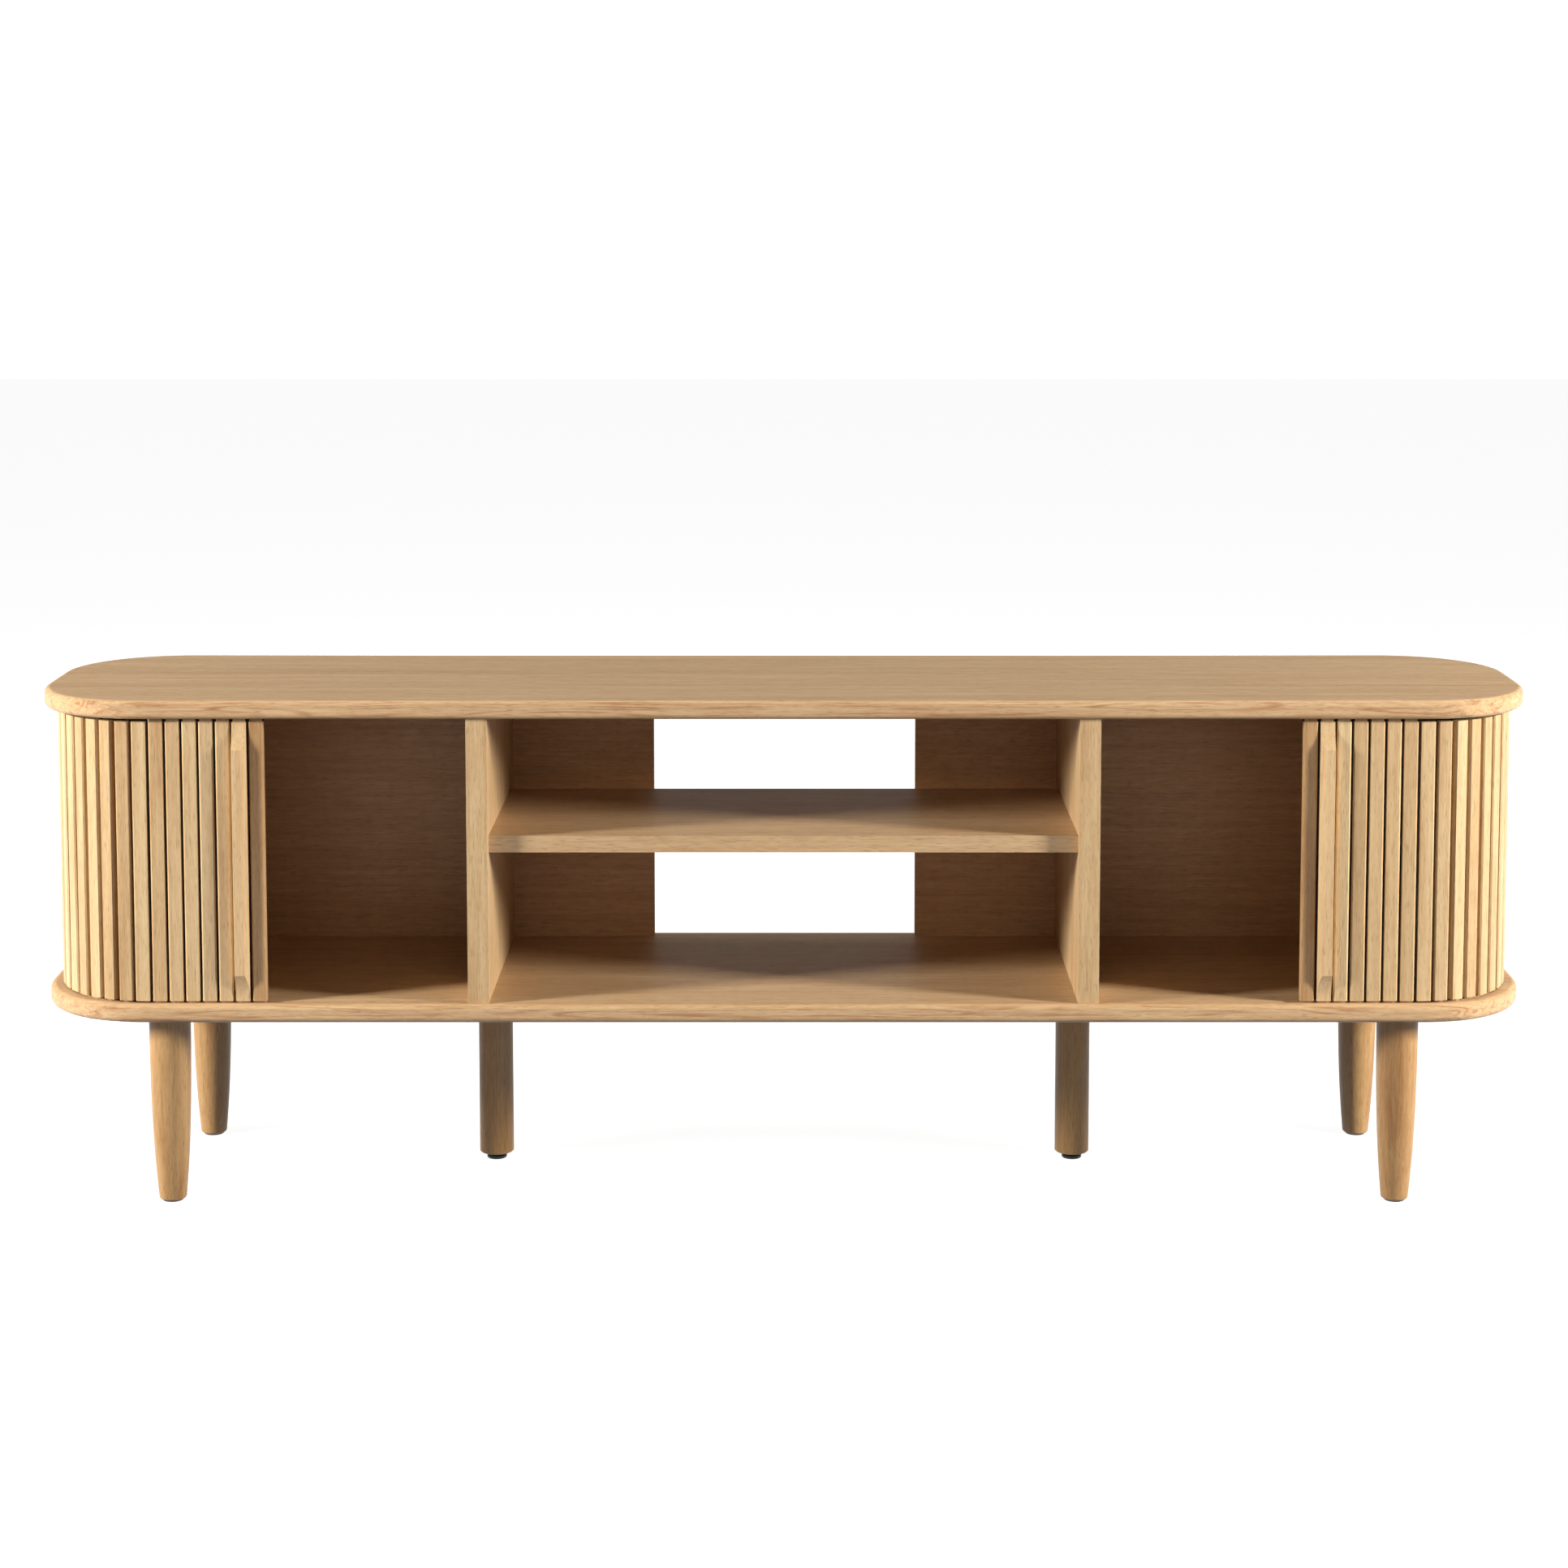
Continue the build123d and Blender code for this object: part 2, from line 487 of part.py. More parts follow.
for side_name, side in SIDES.items():
    lead_x = side * FRONT_SLAT_X[0]
    handle_x = side * FRONT_SLAT_X[1]
    towards_end = Axis((0, 0, 0), (side, 0, 0))
    plain_spots = [(side * x, SLAT_MID_Y) for x in FRONT_SLAT_X[2:]]

    with BuildPart() as lead_slat:
        with BuildSketch(Plane.XY.offset(SLAT_BOTTOM)) as lead_plan:
            with Locations((lead_x, SLAT_MID_Y)):
                Rectangle(SLAT_WIDTH, SLAT_THICK)
            fillet(lead_plan.vertices().group_by(Axis.Y)[0].sort_by(towards_end)[0], LEAD_EDGE_ROUND)
            chamfer(lead_plan.vertices().group_by(Axis.Y)[0].sort_by(towards_end)[-1], SLAT_CHAMFER)
        extrude(amount=SLAT_HEIGHT)
        with BuildSketch(Plane.XY.offset(FLOOR_Z - TONGUE_DEPTH)):
            with Locations((lead_x, SLAT_MID_Y)):
                Rectangle(TONGUE_WIDTH, TONGUE_THICK)
        extrude(amount=INNER_HEIGHT + 2 * TONGUE_DEPTH)
    lead_slat.part.label = f"{side_name}_lead_slat"
    export_step(lead_slat.part, f"parts/{side_name}_lead_slat.step")

    with BuildPart() as handle_slat:
        with BuildSketch(Plane.XY.offset(SLAT_BOTTOM)):
            with Locations((handle_x, SLAT_MID_Y)):
                Rectangle(SLAT_WIDTH, SLAT_THICK)
        extrude(amount=SLAT_HEIGHT)
        with BuildSketch(Plane.XY.offset(FLOOR_Z - TONGUE_DEPTH)):
            with Locations((handle_x, SLAT_MID_Y)):
                Rectangle(TONGUE_WIDTH, TONGUE_THICK)
        extrude(amount=INNER_HEIGHT + 2 * TONGUE_DEPTH)
        with BuildSketch(Plane.YZ.offset(handle_x - SLAT_WIDTH / 2)):
            with BuildLine():
                Line((HANDLE_BACK_Y, SLAT_BOTTOM), (HANDLE_BACK_Y, SLAT_TOP))
                RadiusArc(
                    (HANDLE_BACK_Y, SLAT_TOP), (HANDLE_FRONT_Y, SLAT_TOP - HANDLE_SCOOP), SCOOP_RADIUS
                )
                Line((HANDLE_FRONT_Y, SLAT_TOP - HANDLE_SCOOP), (HANDLE_FRONT_Y, SLAT_BOTTOM + HANDLE_SCOOP))
                RadiusArc(
                    (HANDLE_FRONT_Y, SLAT_BOTTOM + HANDLE_SCOOP), (HANDLE_BACK_Y, SLAT_BOTTOM), SCOOP_RADIUS
                )
            make_face()
        extrude(amount=SLAT_WIDTH)
        with BuildSketch(Plane.XY.offset(SLAT_BOTTOM)):
            Polygon(
                (handle_x - side * SLAT_WIDTH / 2, HANDLE_FRONT_Y),
                (handle_x - side * (SLAT_WIDTH / 2 - HANDLE_BEVEL_WIDTH), HANDLE_FRONT_Y),
                (handle_x - side * SLAT_WIDTH / 2, HANDLE_FRONT_Y + HANDLE_BEVEL_DEPTH),
                align=None,
            )
        extrude(amount=SLAT_HEIGHT, mode=Mode.SUBTRACT)
    handle_slat.part.label = f"{side_name}_handle_slat"
    export_step(handle_slat.part, f"parts/{side_name}_handle_slat.step")

    with BuildPart() as front_slats:
        with BuildSketch(Plane.XY.offset(SLAT_BOTTOM)) as slat_plan:
            with Locations(*plain_spots):
                Rectangle(SLAT_WIDTH, SLAT_THICK)
            chamfer(slat_plan.vertices().group_by(Axis.Y)[0], SLAT_CHAMFER)
        extrude(amount=SLAT_HEIGHT)
        with BuildSketch(Plane.XY.offset(FLOOR_Z - TONGUE_DEPTH)):
            with Locations(*plain_spots):
                Rectangle(TONGUE_WIDTH, TONGUE_THICK)
        extrude(amount=INNER_HEIGHT + 2 * TONGUE_DEPTH)
        with BuildSketch(Plane.XY.offset(FLOOR_Z + CANVAS_MARGIN)):
            with Locations((side * (DOOR_EDGE_X + FRONT_SLATS * PITCH / 2), CANVAS_MID_Y)):
                Rectangle(CANVAS_WIDTH, CANVAS_THICK)
        extrude(amount=INNER_HEIGHT - 2 * CANVAS_MARGIN)
    front_slats.part.label = f"{side_name}_front_slats"
    export_step(front_slats.part, f"parts/{side_name}_front_slats.step")

# Rest of each door: pairs of slats around the corner, each pair on its piece of canvas.
for side_name, side in SIDES.items():
    for pair in range(PAIRS):
        with BuildPart() as slat_pair:
            for slat_x, slat_y, slat_turn in slat_places(pair, side):
                slat_plane = Plane(Location((slat_x, slat_y, SLAT_BOTTOM), (0, 0, slat_turn)))
                with BuildSketch(slat_plane) as slat_plan:
                    with Locations((0, -CANVAS_SPACE - SLAT_THICK / 2)):
                        Rectangle(SLAT_WIDTH, SLAT_THICK)
                    chamfer(slat_plan.vertices().group_by(Axis.Y)[0], SLAT_CHAMFER)
                extrude(amount=SLAT_HEIGHT)
            with BuildSketch(Plane.XY.offset(FLOOR_Z + CANVAS_MARGIN)):
                Polygon(*canvas_outline(pair, side), align=None)
            extrude(amount=INNER_HEIGHT - 2 * CANVAS_MARGIN)
        slat_pair.part.label = f"{side_name}_slat_pair_{pair + 1:02d}"
        export_step(slat_pair.part, f"parts/{side_name}_slat_pair_{pair + 1:02d}.step")
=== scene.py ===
"""Media cabinet with tambour doors: materials, light and camera. Metres."""

import json
import math
import random

import bpy
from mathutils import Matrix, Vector


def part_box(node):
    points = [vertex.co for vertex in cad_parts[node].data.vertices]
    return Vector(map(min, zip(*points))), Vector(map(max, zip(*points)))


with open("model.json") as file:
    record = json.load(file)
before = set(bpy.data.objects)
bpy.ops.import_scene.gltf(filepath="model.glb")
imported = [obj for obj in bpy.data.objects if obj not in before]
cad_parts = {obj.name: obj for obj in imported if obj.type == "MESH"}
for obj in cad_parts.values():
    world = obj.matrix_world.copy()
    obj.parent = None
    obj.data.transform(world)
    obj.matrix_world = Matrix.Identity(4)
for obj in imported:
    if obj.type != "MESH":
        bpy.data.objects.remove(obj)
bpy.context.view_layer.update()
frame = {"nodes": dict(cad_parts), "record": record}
NODES = frame["nodes"]
SLOTS = {row["node"]: row["material_slot"] for row in frame["record"]["subparts"]}
random.seed(7)


# ---------------------------------------------------------------- materials

# Socket numbers of a colour Mix node, whose names are shared with its other kinds
MIX_SHARE, MIX_FIRST, MIX_SECOND, MIX_RESULT = 0, 6, 7, 2

# Oak: how often each noise changes along and across the grain, per metre
BROAD_STREAKS = (0.9, 38.0)
MIDDLE_STREAKS = (6.0, 190.0)
FIBRES = (40.0, 620.0)
PORES = (80.0, 1150.0)
# The part of a noise's values that is spread over the whole tone
STREAK_RANGE = (0.27, 0.73)
PORE_RANGE = (0.58, 0.7)
RING_FADE_RANGE = (0.35, 0.62)
STREAK_DETAIL = 2.0
RING_DETAIL = 1.5
RING_DISTORTION = 0.2
STREAK_SHARE = 0.34
PORE_SHADE = 0.45
PORE_SHARE = 0.4
# Moves the grain to another part of the noise, by this much for each unit of a material's offset
OFFSET_STEP = (1.7, 2.3, 3.1)
# Roughness of the satin lacquer, from the palest fibres to the darkest
LACQUER_ROUGHNESS = (0.38, 0.52)
FIBRE_RELIEF = 0.5
PORE_RELIEF = 0.8
GRAIN_BUMP = {"Strength": 0.2, "Distance": 0.0004}

WEAVE_SCALE = 420.0
WEAVE_BUMP = {"Strength": 0.4, "Distance": 0.0002}
SPECKLE_BUMP = {"Strength": 0.1, "Distance": 0.0002}
SPECKLE_EDGES = (0.35, 0.65)
SPECKLE_GLOSS = 0.08


def linear(red, green, blue):
    """An 8-bit sRGB colour as linear RGBA."""
    channels = []
    for value in (red, green, blue):
        share = value / 255
        channels.append(share / 12.92 if share <= 0.04045 else ((share + 0.055) / 1.055) ** 2.4)
    return (*channels, 1)


def add_node(tree, kind, inputs=None, **settings):
    """A shader node with its settings, and its inputs given as constants or as sockets to link."""
    made = tree.nodes.new(kind)
    for setting, value in settings.items():
        setattr(made, setting, value)
    for key, value in (inputs or {}).items():
        if isinstance(value, bpy.types.NodeSocket):
            tree.links.new(value, made.inputs[key])
        else:
            made.inputs[key].default_value = value
    return made


def new_material(name):
    """An empty node material: its tree and its principled shader, joined to the output."""
    material = bpy.data.materials.new(name)
    material.use_nodes = True
    tree = material.node_tree
    tree.nodes.clear()
    output = tree.nodes.new("ShaderNodeOutputMaterial")
    shader = tree.nodes.new("ShaderNodeBsdfPrincipled")
    tree.links.new(shader.outputs["BSDF"], output.inputs["Surface"])
    return material, tree, shader


def stretched(grain, along, across):
    """A mapping scale that is small along the grain axis and large across it."""
    return tuple(along if axis == grain else across for axis in "xyz")


def oak(
    name, pale, brown, grain, offset, figure=0.2, ring=(0.45, 7.0, 7.0), broad_share=0.75
):
    """Lacquered oak: growth-ring figure, streaks, fibres and short dark pores along one axis.

    figure is the strength of the rings. ring says how often they change along and across the
    grain, per metre, and how many lines they draw. broad_share is the strength of the broad
    streaks beside the narrow ones.
    """
    material, tree, shader = new_material(name)
    place = add_node(tree, "ShaderNodeTexCoord").outputs["Object"]
    shift = tuple(offset * step for step in OFFSET_STEP)

    def grain_noise(along, across, detail=1.0, distortion=0.0):
        mapped = add_node(
            tree, "ShaderNodeMapping",
            {"Vector": place, "Location": shift, "Scale": stretched(grain, along, across)},
        )
        noise = add_node(
            tree, "ShaderNodeTexNoise",
            {"Vector": mapped.outputs[0], "Scale": 1.0, "Detail": detail, "Distortion": distortion},
        )
        return noise.outputs[0]

    def math_node(operation, first, second=0.0):
        inputs = {0: first, 1: second}
        return add_node(tree, "ShaderNodeMath", inputs, operation=operation).outputs[0]

    def ranged(value, low, high, out_low=0.0, out_high=1.0):
        return add_node(
            tree, "ShaderNodeMapRange",
            {
                "Value": value,
                "From Min": low, "From Max": high, "To Min": out_low, "To Max": out_high,
            },
        ).outputs[0]

    def blend(share, first, second):
        inputs = {MIX_SHARE: share, MIX_FIRST: first, MIX_SECOND: second}
        return add_node(tree, "ShaderNodeMix", inputs, data_type="RGBA").outputs[MIX_RESULT]

    # Growth rings: contour lines of a noise that is drawn out along the grain
    ring_along, ring_across, ring_lines = ring
    field = grain_noise(ring_along, ring_across, RING_DETAIL, RING_DISTORTION)
    rings = math_node("SINE", math_node("MULTIPLY", field, ring_lines * 2 * math.pi))
    fade = ranged(grain_noise(ring_along * 4, ring_across * 2), *RING_FADE_RANGE)
    rings = math_node("MULTIPLY", math_node("MULTIPLY", ranged(rings, 0.0, 1.0), fade), figure)
    # Streaks of two widths, and fine fibres
    broad, middle, fibres = (
        ranged(grain_noise(*scales, STREAK_DETAIL), *STREAK_RANGE)
        for scales in (BROAD_STREAKS, MIDDLE_STREAKS, FIBRES)
    )
    share = math_node("ADD", rings, math_node("MULTIPLY", broad, STREAK_SHARE * broad_share))
    share = math_node("ADD", share, math_node("MULTIPLY", middle, STREAK_SHARE))
    share = math_node("ADD", share, math_node("MULTIPLY", fibres, STREAK_SHARE))
    tone = blend(share, pale, brown)
    # Pores: thin dark dashes
    dashes = ranged(grain_noise(*PORES), *PORE_RANGE)
    dark_pore = tuple(channel * PORE_SHADE for channel in brown[:3]) + (1,)
    coloured = blend(math_node("MULTIPLY", dashes, PORE_SHARE), tone, dark_pore)
    tree.links.new(coloured, shader.inputs["Base Color"])
    # Satin lacquer that lets the fibres show
    tree.links.new(ranged(fibres, 0, 1, *LACQUER_ROUGHNESS), shader.inputs["Roughness"])
    height = math_node(
        "SUBTRACT",
        math_node("MULTIPLY", fibres, FIBRE_RELIEF), math_node("MULTIPLY", dashes, PORE_RELIEF),
    )
    bump = add_node(tree, "ShaderNodeBump", {**GRAIN_BUMP, "Height": height})
    tree.links.new(bump.outputs[0], shader.inputs["Normal"])
    shader.inputs["Specular IOR Level"].default_value = 0.5
    return material


def canvas_gap_shade_material():
    """Canvas with a plain weave, its brown darkened nearly to black as painted shade in the gaps
    between the slats.
    """
    material, tree, shader = new_material("tambour_canvas_gap_shade")
    place = add_node(tree, "ShaderNodeTexCoord").outputs["Object"]
    threads = []
    for direction in ("X", "Z"):
        wave = add_node(
            tree, "ShaderNodeTexWave", {"Vector": place, "Scale": WEAVE_SCALE, "Distortion": 0.6},
            bands_direction=direction,
        )
        threads.append(wave.outputs["Fac"])
    weave = add_node(tree, "ShaderNodeMath", {0: threads[0], 1: threads[1]}, operation="MULTIPLY")
    ramp = add_node(tree, "ShaderNodeValToRGB", {"Fac": weave.outputs[0]})
    # Near-black browns: the canvas's own brown, deepened as painted shade in the slat gaps
    ramp.color_ramp.elements[0].color = linear(16, 10, 6)
    ramp.color_ramp.elements[1].color = linear(32, 21, 13)
    tree.links.new(ramp.outputs[0], shader.inputs["Base Color"])
    bump = add_node(tree, "ShaderNodeBump", {**WEAVE_BUMP, "Height": weave.outputs[0]})
    tree.links.new(bump.outputs[0], shader.inputs["Normal"])
    shader.inputs["Roughness"].default_value = 0.9
    return material


def speckled(name, dark, light, scale, rough, metal=0.0):
    """Moulded plastic or plated steel: one tone with a fine cloud in colour, gloss and relief."""
    material, tree, shader = new_material(name)
    place = add_node(tree, "ShaderNodeTexCoord").outputs["Object"]
    cloud = add_node(tree, "ShaderNodeTexNoise", {"Vector": place, "Scale": scale, "Detail": 3.0})
    ramp = add_node(tree, "ShaderNodeValToRGB", {"Fac": cloud.outputs[0]})
    for element, position, colour in zip(ramp.color_ramp.elements, SPECKLE_EDGES, (dark, light)):
        element.position = position
        element.color = colour
    tree.links.new(ramp.outputs[0], shader.inputs["Base Color"])
    gloss = add_node(
        tree, "ShaderNodeMapRange",
        {
            "Value": cloud.outputs[0],
            "To Min": rough - SPECKLE_GLOSS, "To Max": rough + SPECKLE_GLOSS,
        },
    )
    tree.links.new(gloss.outputs[0], shader.inputs["Roughness"])
    bump = add_node(tree, "ShaderNodeBump", {**SPECKLE_BUMP, "Height": cloud.outputs[0]})
    tree.links.new(bump.outputs[0], shader.inputs["Normal"])
    shader.inputs["Metallic"].default_value = metal
    return material


# The pale and the brown tone of each oak
VENEER = (linear(212, 181, 139), linear(168, 126, 83))
LIPPING = (linear(214, 181, 137), linear(166, 119, 78))
BOARD_UPRIGHT = (linear(217, 187, 141), linear(172, 130, 84))
SHELF = (linear(210, 178, 135), linear(167, 123, 81))
BACK = (linear(206, 165, 117), linear(163, 116, 71))
LEG = (linear(189, 151, 100), linear(145, 99, 53))
# Centre supports: the legs' oak made brighter and more saturated, as painted warm light bounced
# under the cabinet
SUPPORT_BOUNCE_LIGHT = (linear(204, 163, 106), linear(159, 109, 57))
# Lead slat: darker than the other slats, partly its own tone and partly painted shade of the
# handle's shadow
LEAD_HANDLE_SHADOW = (linear(196, 158, 112), linear(152, 108, 66))
# Handle slat: paler than the other slats, partly its own tone and partly painted light caught by
# its raised face
HANDLE_PAINTED_LIGHT = (linear(226, 196, 149), linear(192, 152, 106))
SLAT_TONES = (
    (linear(222, 196, 150), linear(182, 145, 100)),
    (linear(217, 189, 143), linear(177, 138, 94)),
    (linear(210, 180, 134), linear(169, 129, 85)),
    (linear(219, 190, 143), linear(176, 136, 91)),
    (linear(214, 187, 143), linear(173, 136, 94)),
    (linear(208, 178, 132), linear(166, 127, 84)),
)

# Growth rings: changes a metre along and across the grain, and lines
FLAT_RING = (0.35, 6.0, 5.0)
EDGE_RING = (3.0, 60.0, 10.0)
TURNED_RING = (2.0, 24.0, 4.0)
UPRIGHT_RING = (1.2, 22.0, 4.0)
LEVEL_RING = (0.8, 9.0, 5.0)

panel_veneer = oak("panel_oak_veneer", *VENEER, "x", 0.4, figure=0.16, ring=FLAT_RING)
panel_lipping = oak(
    "panel_oak_lipping", *LIPPING, "x", 0.9, figure=0.5, ring=EDGE_RING, broad_share=0.4
)
board_upright = oak("board_oak_upright", *BOARD_UPRIGHT, "z", 1.3, ring=UPRIGHT_RING)
shelf_oak = oak("shelf_oak", *SHELF, "x", 2.2, figure=0.12, ring=LEVEL_RING, broad_share=0.2)
back_oak = oak("back_oak", *BACK, "x", 2.2, figure=0.12, ring=LEVEL_RING, broad_share=0.2)
support_oak_bounce_light = oak("support_oak_bounce_light", *SUPPORT_BOUNCE_LIGHT, "z", 4.9, figure=0.3, ring=TURNED_RING)
leg_oak = oak("leg_oak", *LEG, "z", 3.7, figure=0.3, ring=TURNED_RING)
lead_oak_handle_shadow = oak("lead_slat_oak_handle_shadow", *LEAD_HANDLE_SHADOW, "z", 5.1, figure=0.3, ring=UPRIGHT_RING)
handle_oak_painted_light = oak("handle_oak_painted_light", *HANDLE_PAINTED_LIGHT, "z", 6.4, ring=UPRIGHT_RING)
slat_oaks = [
    oak(f"slat_oak_{index + 1}", pale, brown, "z", 8.0 + index, figure=0.26, ring=UPRIGHT_RING)
    for index, (pale, brown) in enumerate(SLAT_TONES)
]
# The canvas material, near black as painted shade in the gaps between the slats
canvas = canvas_gap_shade_material()
dowel_wood = oak("dowel_beech", linear(222, 190, 150), linear(190, 150, 108), "z", 4.4)
steel = speckled(
    "plated_steel", linear(150, 150, 152), linear(190, 190, 190), 900.0, 0.35, metal=1.0
)
glide = speckled("glide_plastic", linear(40, 30, 24), linear(58, 46, 38), 1200.0, 0.6)
foot_plastic = speckled("foot_plastic", linear(14, 14, 14), linear(26, 26, 27), 1400.0, 0.45)


# ---------------------------------------------------------------- CAD nodes

# The canvas is told from the slats by where it starts: this far over the cabinet's floor
INNER_FLOOR_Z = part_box("bottom_panel")[1].z
CANVAS_MARGIN = 0.0015
CANVAS_MATCH = 0.0003
SAME_POINT_DIGITS = 6
# How far up or down a panel's face looks when it is veneer and not lipping
VENEER_NORMAL = 0.8


def solids_of(mesh):
    """The polygon indices of each separate solid in a mesh with its vertices split at edges."""
    point_of = {}
    parent = []

    def root(index):
        while parent[index] != index:
            parent[index] = parent[parent[index]]
            index = parent[index]
        return index

    shared = []
    for vertex in mesh.vertices:
        key = tuple(round(value, SAME_POINT_DIGITS) for value in vertex.co)
        if key not in point_of:
            point_of[key] = len(parent)
            parent.append(len(parent))
        shared.append(point_of[key])
    for polygon in mesh.polygons:
        first = root(shared[polygon.vertices[0]])
        for corner in polygon.vertices:
            parent[root(shared[corner])] = first
    solids = {}
    for polygon in mesh.polygons:
        solids.setdefault(root(shared[polygon.vertices[0]]), []).append(polygon.index)
    return list(solids.values())


def is_canvas(mesh, polygons):
    """Whether a solid is the canvas, by the height at which it starts."""
    low = min(mesh.vertices[v].co.z for p in polygons for v in mesh.polygons[p].vertices)
    return abs(low - INNER_FLOOR_Z - CANVAS_MARGIN) < CANVAS_MATCH


def paint(node, *materials):
    """Gives a CAD node its materials, with every polygon on the first."""
    mesh = NODES[node].data
    mesh.materials.clear()
    for material in materials:
        mesh.materials.append(material)
    for polygon in mesh.polygons:
        polygon.material_index = 0
    return mesh


def paint_slats(node, last):
    """Gives each slat one of the oak tones, never the last one again, and the canvas its own.

    Returns the tone of the last slat.
    """
    mesh = paint(node, *slat_oaks, canvas)
    for polygons in solids_of(mesh):
        if is_canvas(mesh, polygons):
            index = len(slat_oaks)
        else:
            index = random.choice([tone for tone in range(len(slat_oaks)) if tone != last])
            last = index
        for polygon in polygons:
            mesh.polygons[polygon].material_index = index
    return last


PLAIN = {
    "leg_oak": leg_oak,
    "dowel_wood": dowel_wood,
    "steel": steel,
    "glide_plastic": glide,
    "foot_plastic": foot_plastic,
}
last_tone = 0
for node in sorted(NODES):
    if node.endswith("_lead_slat"):
        paint(node, lead_oak_handle_shadow)
    elif node.endswith("_handle_slat"):
        paint(node, handle_oak_painted_light)
    elif SLOTS[node] == "slat_oak":
        last_tone = paint_slats(node, last_tone)
    # The centre supports get the legs' oak with painted bounce light
    elif node.endswith("_center_support"):
        paint(node, support_oak_bounce_light)
    elif SLOTS[node] == "panel_oak":
        mesh = paint(node, panel_veneer, panel_lipping)
        for polygon in mesh.polygons:
            polygon.material_index = int(abs(polygon.normal.z) < VENEER_NORMAL)
    elif node.endswith("_back_panel"):
        paint(node, back_oak)
    elif node == "center_shelf":
        paint(node, shelf_oak)
    elif SLOTS[node] == "carcass_oak":
        paint(node, board_upright)
    else:
        paint(node, PLAIN[SLOTS[node]])

# Slightly eased edges on the upright boards and the shelf
EASE_WIDTH = 0.0008
EASE_SEGMENTS = 2
EASE_ANGLE = 50
WELD_DISTANCE = 0.00001
for node in sorted(NODES):
    if SLOTS[node] == "carcass_oak" and not node.endswith("_back_panel"):
        weld = NODES[node].modifiers.new("weld", "WELD")
        weld.merge_threshold = WELD_DISTANCE
        ease = NODES[node].modifiers.new("ease", "BEVEL")
        ease.width = EASE_WIDTH
        ease.segments = EASE_SEGMENTS
        ease.limit_method = "ANGLE"
        ease.angle_limit = math.radians(EASE_ANGLE)
        ease.harden_normals = True


# ---------------------------------------------------------- stage and light

FLOOR_HALF = 14.0
FLOOR_GREY = 0.3
FLOOR_CLOUD = 0.985
FLOOR_ROUGHNESS = 0.9
FLOOR_GLOW = 0.92


def floor_material():
    """A nearly even matt grey that glows white."""
    material, tree, shader = new_material("floor_white")
    place = add_node(tree, "ShaderNodeTexCoord").outputs["Object"]
    cloud = add_node(tree, "ShaderNodeTexNoise", {"Vector": place, "Scale": 1.5, "Detail": 1.0})
    ramp = add_node(tree, "ShaderNodeValToRGB", {"Fac": cloud.outputs[0]})
    for element, grey in zip(ramp.color_ramp.elements, (FLOOR_GREY * FLOOR_CLOUD, FLOOR_GREY)):
        element.color = (grey, grey, grey, 1)
    tree.links.new(ramp.outputs[0], shader.inputs["Base Color"])
    shader.inputs["Roughness"].default_value = FLOOR_ROUGHNESS
    shader.inputs["Emission Color"].default_value = (1, 1, 1, 1)
    shader.inputs["Emission Strength"].default_value = FLOOR_GLOW
    return material


floor_mesh = bpy.data.meshes.new("studio_floor")
floor_mesh.from_pydata(
    [(x * FLOOR_HALF, y * FLOOR_HALF, 0) for x, y in ((-1, -1), (1, -1), (1, 1), (-1, 1))],
    [], [(0, 1, 2, 3)],
)
floor_mesh.materials.append(floor_material())
floor = bpy.data.objects.new("studio_floor", floor_mesh)
bpy.context.scene.collection.objects.link(floor)
# Its glow would light the cabinet from below
floor.visible_diffuse = False


def softbox(name, place, target, width, height, power, glossy=True):
    """A rectangular area light at a place, turned to a target. glossy gives it highlights."""
    light = bpy.data.lights.new(name, "AREA")
    light.shape = "RECTANGLE"
    light.size = width
    light.size_y = height
    light.energy = power
    made = bpy.data.objects.new(name, light)
    made.location = place
    made.rotation_euler = (Vector(target) - Vector(place)).to_track_quat("-Z", "Y").to_euler()
    made.visible_camera = False
    made.visible_glossy = glossy
    bpy.context.scene.collection.objects.link(made)


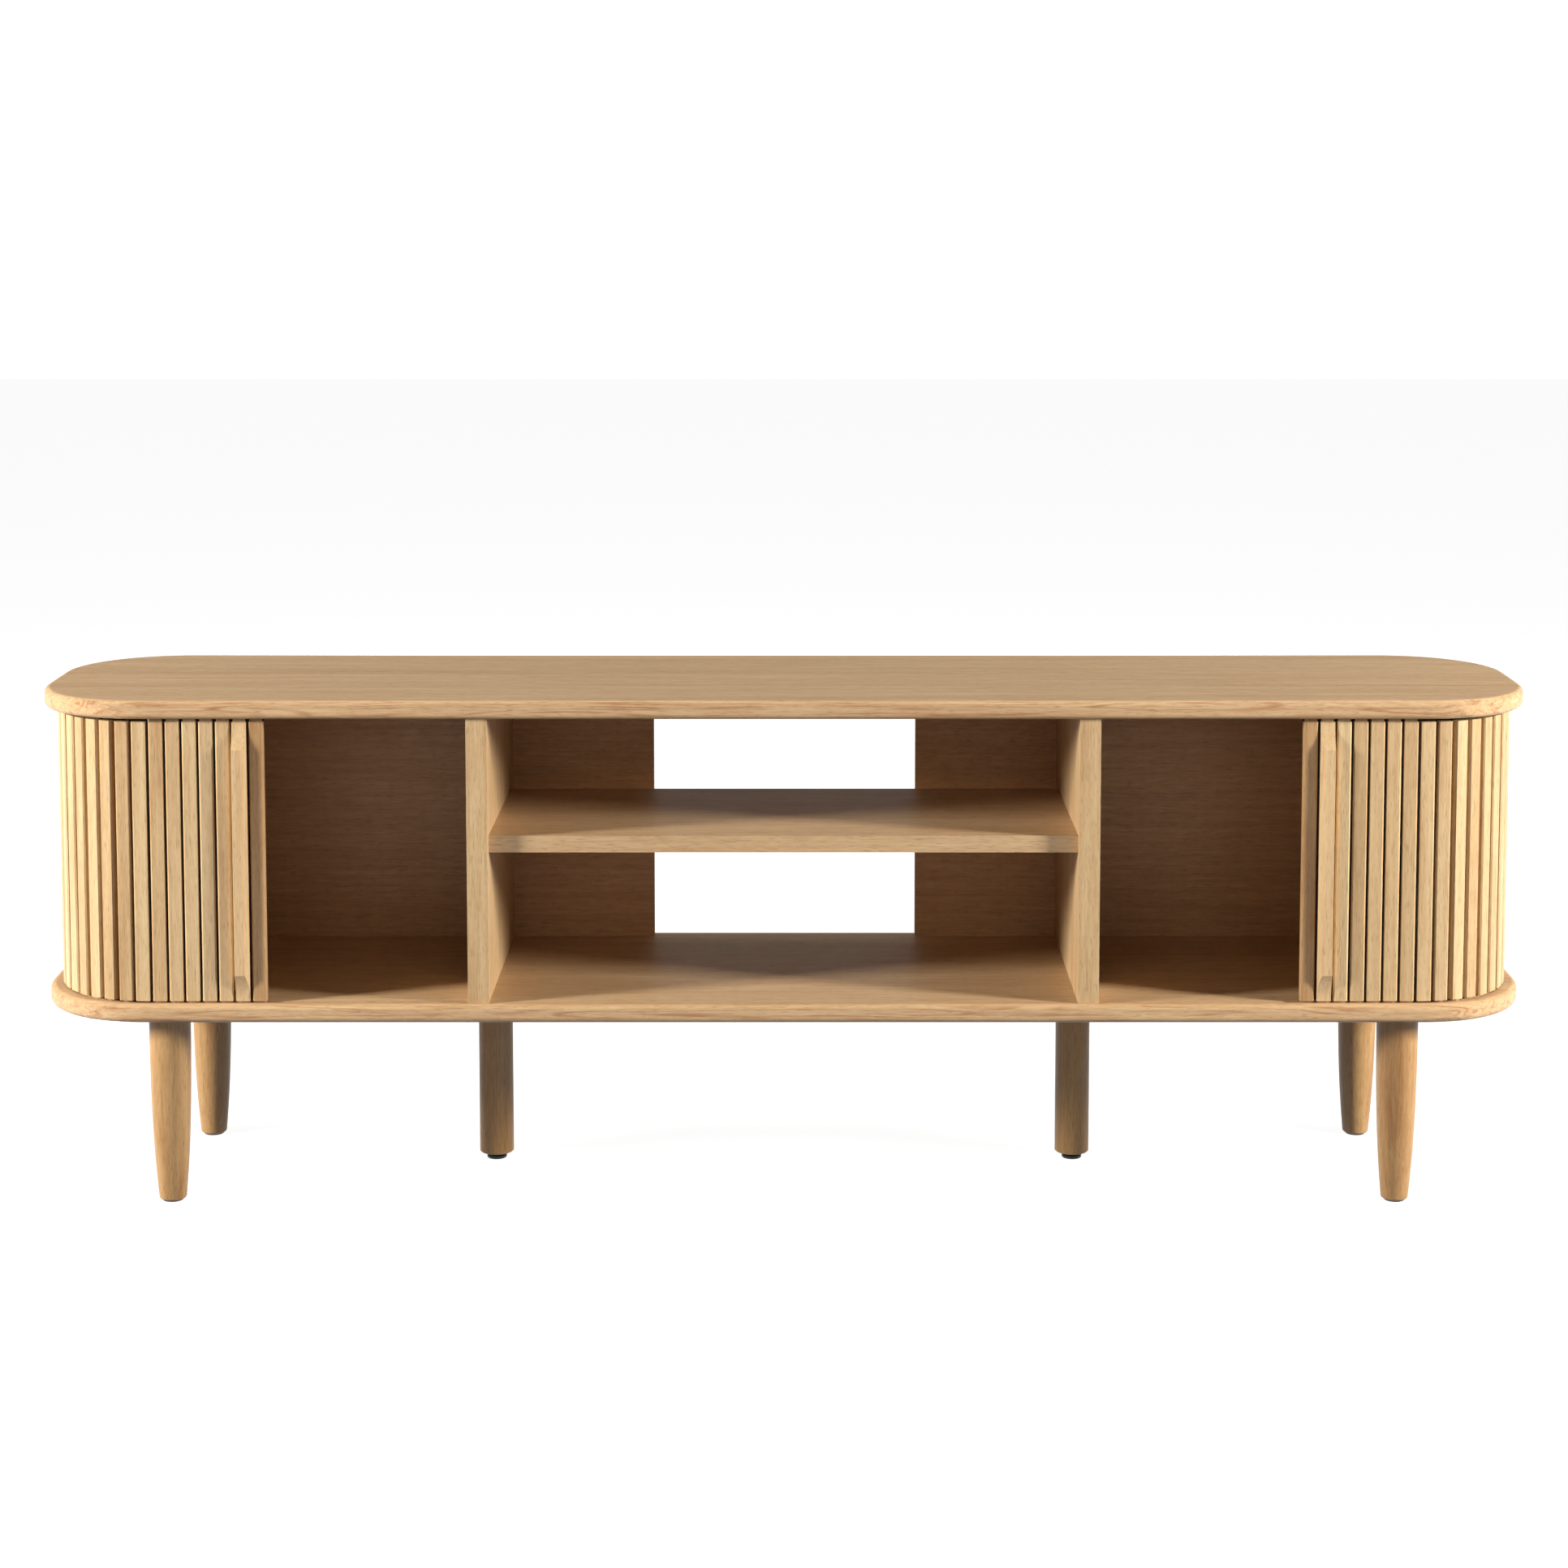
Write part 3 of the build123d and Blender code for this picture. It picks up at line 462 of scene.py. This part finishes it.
softbox("left_softbox", (-3.0, -1.0, 1.2), (-0.3, 0, 0.35), 0.4, 0.7, 166, glossy=False)
softbox("right_softbox", (3.0, -1.0, 1.2), (0.3, 0, 0.35), 0.4, 0.7, 174, glossy=False)
softbox("top_softbox", (0, 0.35, 3.0), (0, 0.1, 0.3), 3.0, 0.6, 19)
softbox("front_fill", (0, -4.0, 1.6), (0, 0, 0.3), 3.0, 1.0, 8)
softbox("back_softbox", (0, 4.0, 0.42), (0, 0, 0.38), 2.0, 0.5, 85, glossy=False)

# The white surround is bright to the camera and in reflections, and sheds only a little light
SKY_SEEN = 0.95
SKY_MIRRORED = 0.2
SKY_SHED = 0.06
world = bpy.data.worlds.new("studio_white")
bpy.context.scene.world = world
world.use_nodes = True
sky = world.node_tree
sky.nodes.clear()
path = add_node(sky, "ShaderNodeLightPath")
seen = add_node(
    sky, "ShaderNodeMath", {0: path.outputs["Is Camera Ray"], 1: SKY_SEEN}, operation="MULTIPLY"
)
mirrored = add_node(
    sky, "ShaderNodeMath", {0: path.outputs["Is Glossy Ray"], 1: SKY_MIRRORED}, operation="MULTIPLY"
)
both = add_node(
    sky, "ShaderNodeMath", {0: seen.outputs[0], 1: mirrored.outputs[0]}, operation="ADD"
)
total = add_node(sky, "ShaderNodeMath", {0: both.outputs[0], 1: SKY_SHED}, operation="ADD")
sky_light = add_node(
    sky, "ShaderNodeBackground", {"Color": (1, 1, 1, 1), "Strength": total.outputs[0]}
)
sky_output = sky.nodes.new("ShaderNodeOutputWorld")
sky.links.new(sky_light.outputs[0], sky_output.inputs["Surface"])
bpy.context.scene.view_settings.view_transform = "Standard"


# ------------------------------------------------------------------- camera

CAMERA_PLACE = (0.0152, -3.3214, 1.0859)
CAMERA_PITCH = 5.3
FOCAL_LENGTH = 70.1
LENS_SHIFT = (-0.0088, -0.2)
lens = bpy.data.cameras.new("camera")
lens.lens = FOCAL_LENGTH
lens.shift_x, lens.shift_y = LENS_SHIFT
camera = bpy.data.objects.new("camera", lens)
camera.location = CAMERA_PLACE
camera.rotation_euler = (math.radians(90 - CAMERA_PITCH), 0, 0)
bpy.context.scene.collection.objects.link(camera)
bpy.context.scene.camera = camera
